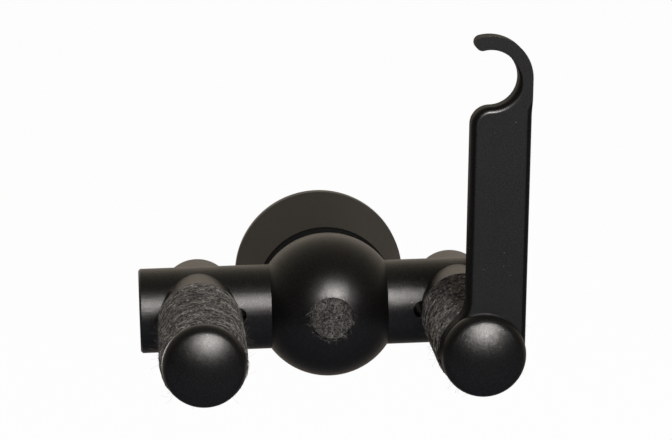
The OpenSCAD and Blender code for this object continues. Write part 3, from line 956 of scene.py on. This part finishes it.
def lying_hair(dice, winding):
    is_long = dice.random() < long_share
    length = dice.uniform(*(long_length if is_long else short_length)) * mm
    slant = dice.gauss(*(long_slant if is_long else short_slant))
    begin = dice.uniform(from_turn, winding.turns + past_turns)
    around = dice.gauss(-0.1, 0.5)
    path = []
    for i in range(lying_steps + 1):
        share = i / lying_steps
        lift = (arch * math.sin(math.pi * share) - sunk + dice.gauss(0, uneven)) * mm
        done = begin + share * length / (math.tau * yarn_mid)
        across = around + slant * share * length / winding.pitch * math.pi
        path.append(on_strand(winding, done, across, lift))
    if dice.random() < pale_share:
        tone = dice.uniform(*pale_tones)
    else:
        tone = dark_limit * dice.random() ** 3
    # painted shade: fibres near a groove are darkened
    tone *= groove_shade_least + (1 - groove_shade_least) * max(0, math.cos(groove_fade * around))
    return path, dice.uniform(*lying_width) * mm, tone


# %% [markdown]
# A few thin stray hairs stand out from the strand all over. Each leaves it at its own slant and
# bends a little more at every step.


# %% Stray hairs
stray_steps, stray_length, stray_width = 5, (0.8, 2.6), (0.007, 0.013)
outward, slant_spread, bend_spread, stray_tones = (0.35, 0.9), 0.5, 0.35, (0.05, 0.5)


def scatter(dice, spread):
    return Vector([dice.gauss(0, spread) for axis in range(3)])


def stray_hair(dice, winding):
    begin = dice.uniform(from_turn, winding.turns + past_turns)
    around = dice.uniform(-0.9, 0.9)
    point = on_strand(winding, begin, around, 0)
    out = Vector((point.x, point.y, 0)).normalized()
    way = (out * dice.uniform(*outward) + scatter(dice, slant_spread)).normalized()
    bend = scatter(dice, bend_spread)
    step = dice.uniform(*stray_length) * mm / stray_steps
    path = [point]
    for i in range(stray_steps):
        path.append(path[-1] + way * step)
        way = (way + bend).normalized()
    return path, dice.uniform(*stray_width) * mm, dice.uniform(*stray_tones)


# %% [markdown]
# Each winding gets its fibres from its own row of dice, so that every run gives the same ones.
# Fibres that would reach into the bar or past the winding's end are left out.

# %% Yarn fibres
lying_count, stray_count = 4200, 220
for side, seed in (("left", 21), ("right", 22)):
    dice = random.Random(seed)
    winding = windings[side]
    low = winding.first - 2 * mm
    high = winding.first + winding.pitch * (winding.turns + 0.5)
    hairs = [lying_hair(dice, winding) for i in range(lying_count)]
    hairs += [stray_hair(dice, winding) for i in range(stray_count)]
    hairs = [hair for hair in hairs if all(low < point.z < high for point in hair[0])]
    fuzz = fibre_mesh(side + "_yarn_fibres", hairs)
    lay_forward(fuzz, arm_at[side], 0)
    fuzz.data.materials.append(yarn_hairs)
    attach(fuzz, side + "_finger")

# %% [markdown]
# The felt pad is a disc punched from thick felt and glued into the ball's front. It is pressed
# into a low crown, and its edge is rounded by wear. The turned disc is roughened with noise, so
# that its face looks matted.

# %% Felt pad
low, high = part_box("felt_pad")
pad_r, pad_face, pad_back = (high.x - low.x) / 2, -low.y, -high.y
crown_r = 12.4 * mm
edge_drop = crown_r - math.sqrt(crown_r ** 2 - pad_r ** 2)
pad_edge = pad_face - edge_drop
fray = 0.45 * mm
fray_steps, face_steps, pad_segments = 4, 14, 84
pad_profile = [(pad_r, pad_back), (pad_r, pad_edge - fray)]
for step in range(1, fray_steps + 1):
    quarter = math.radians(90 * step / fray_steps)
    reach = pad_r - fray + fray * math.cos(quarter)
    pad_profile.append((reach, pad_edge - fray + fray * math.sin(quarter)))
for step in range(1, face_steps):
    reach = (pad_r - fray) * (1 - step / face_steps)
    pad_profile.append((reach, pad_edge + edge_drop * (1 - (reach / (pad_r - fray)) ** 2)))
pad = turned("felt_pad_disc", pad_profile, pad_segments)
lumpy(pad, "matted", grain_size=0.9 * mm, depth=0.22 * mm)
lumpy(pad, "fuzz", grain_size=0.35 * mm, depth=0.12 * mm)
apply_all(pad)
bpy.ops.object.shade_smooth()
lay_forward(pad, 0, 0)
pad.data.materials.append(felt_finish)
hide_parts("felt_pad")
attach(pad, "fork")
print("felt pad faces:", len(pad.data.polygons))

# %% [markdown]
# A felt fibre is a short curl that lies on the pad, or on the ball's surface past the pad's edge.
# A matted fibre has both ends pressed in, and a loose one lifts off at one end.


# %% Single felt fibre
ball_r, ball_y, well_r = 12.75 * mm, 28.5 * mm, 3.8 * mm
felt_steps, felt_sunk = 5, 0.03 * mm


def felt_height(reach):
    if reach < well_r:
        return pad_edge + edge_drop * (1 - (reach / pad_r) ** 2)
    return ball_y + math.sqrt(ball_r ** 2 - reach ** 2)


def felt_hair(spot, heading, curl, length, lift, loose):
    path = []
    for i in range(felt_steps + 1):
        rise = lift * (i / felt_steps if loose else math.sin(math.pi * i / felt_steps)) - felt_sunk
        path.append(Vector((spot.x, spot.y, felt_height(spot.length) + rise)))
        spot = spot + length / felt_steps * Vector((math.cos(heading), math.sin(heading)))
        heading += curl
    return path


# %% [markdown]
# Matted fibres cover the whole pad at every heading, and most of them are dark. A few thin loose
# ones start near the edge and fray out over the ball, as far as the limit.

# %% Felt fibres
matted_count, loose_count, felt_seed = 1300, 48, 23
edge_room, fray_limit = 0.1 * mm, 4.9 * mm
dice = random.Random(felt_seed)
hairs = []
for i in range(matted_count):
    reach, turn = (pad_r - edge_room) * math.sqrt(dice.random()), dice.uniform(0, math.tau)
    spot = reach * Vector((math.cos(turn), math.sin(turn)))
    length, lift = dice.uniform(0.7, 1.8) * mm, dice.uniform(0.06, 0.28) * mm
    path = felt_hair(spot, dice.uniform(0, math.tau), dice.gauss(0, 0.7), length, lift, loose=False)
    hairs.append((path, dice.uniform(0.012, 0.032) * mm, dice.random() ** 3.8))
for i in range(loose_count):
    reach, turn = dice.uniform(2.9, 3.7) * mm, dice.uniform(0, math.tau)
    spot = reach * Vector((math.cos(turn), math.sin(turn)))
    length, lift = dice.uniform(0.6, 1.9) * mm, dice.uniform(0.15, 0.6) * mm
    path = felt_hair(spot, turn + dice.gauss(0, 0.7), dice.gauss(0, 0.3), length, lift, loose=True)
    hairs.append((path, dice.uniform(0.006, 0.012) * mm, dice.uniform(0.1, 0.8)))
hairs = [hair for hair in hairs if all(math.hypot(p.x, p.y) < fray_limit for p in hair[0])]
fuzz = fibre_mesh("felt_pad_fibres", hairs)
lay_forward(fuzz, 0, 0)
fuzz.data.materials.append(felt_hairs)
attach(fuzz, "fork")
